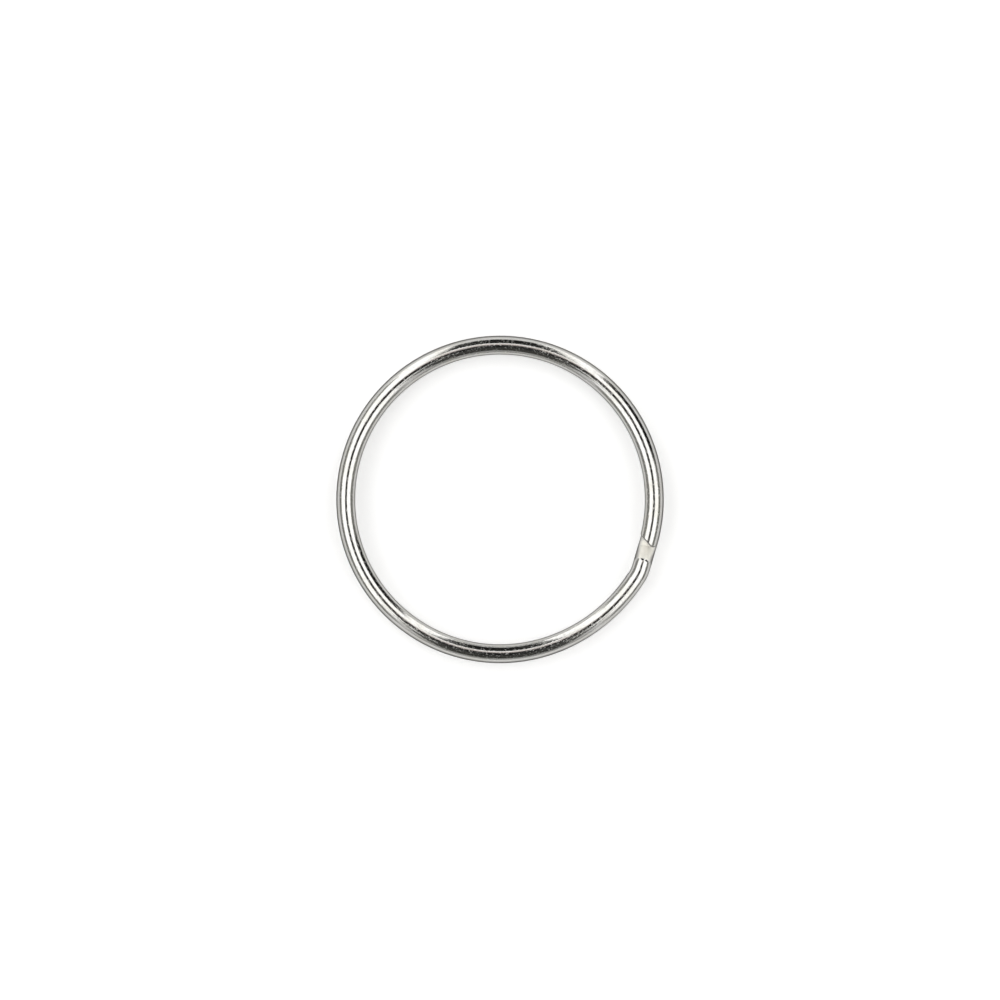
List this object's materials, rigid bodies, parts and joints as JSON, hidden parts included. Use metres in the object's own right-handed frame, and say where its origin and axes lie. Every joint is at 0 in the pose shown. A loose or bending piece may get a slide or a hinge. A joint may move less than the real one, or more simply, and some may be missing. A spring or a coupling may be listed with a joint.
{
  "type": "split key ring",
  "caption": "Flat split ring of round spring wire, coiled on itself with a short stepped crossover, that keys are threaded onto.",
  "frame": {"origin": "on the ring's axis, in the plane that the lower turn lies on", "axes": "+Z along the ring's axis, up from the surface it lies on; the crossover lands 17.4 degrees clockwise of +X seen from above"},
  "size_m": [0.025, 0.025, 0.0028],
  "materials": {
    "bright_plate": "bright plated round wire with fine drawing lines"
  },
  "bodies": {
    "root": {"split_ring": "bright_plate"}
  },
  "joints": []
}
